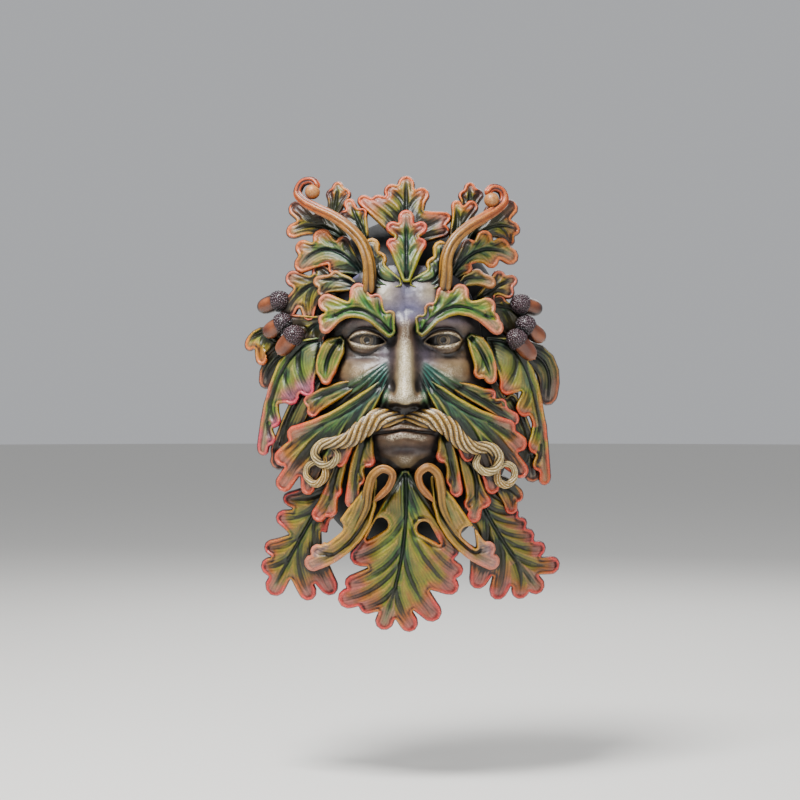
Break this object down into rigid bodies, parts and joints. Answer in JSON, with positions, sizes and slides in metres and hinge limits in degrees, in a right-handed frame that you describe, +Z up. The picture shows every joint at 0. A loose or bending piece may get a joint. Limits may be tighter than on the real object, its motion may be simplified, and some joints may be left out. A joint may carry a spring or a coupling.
{
  "type": "green man wall mask",
  "caption": "Bearded foliate face wall mask cast in one piece, with oak-leaf brows, beard and crown, curling tendrils, moustache and acorns, hollow behind a flat rim.",
  "frame": {"origin": "on the flat back face above the hollow, 16 mm below the middle of the hanging hole, on the face's middle line", "axes": "+X to the viewer's right, +Y into the wall, +Z up; the face looks along -Y"},
  "size_m": [0.2585, 0.1042, 0.365],
  "materials": {
    "painted_resin": "satin hand-painted resin"
  },
  "bodies": {
    "root": {"green_man_mask": "painted_resin"}
  },
  "joints": []
}
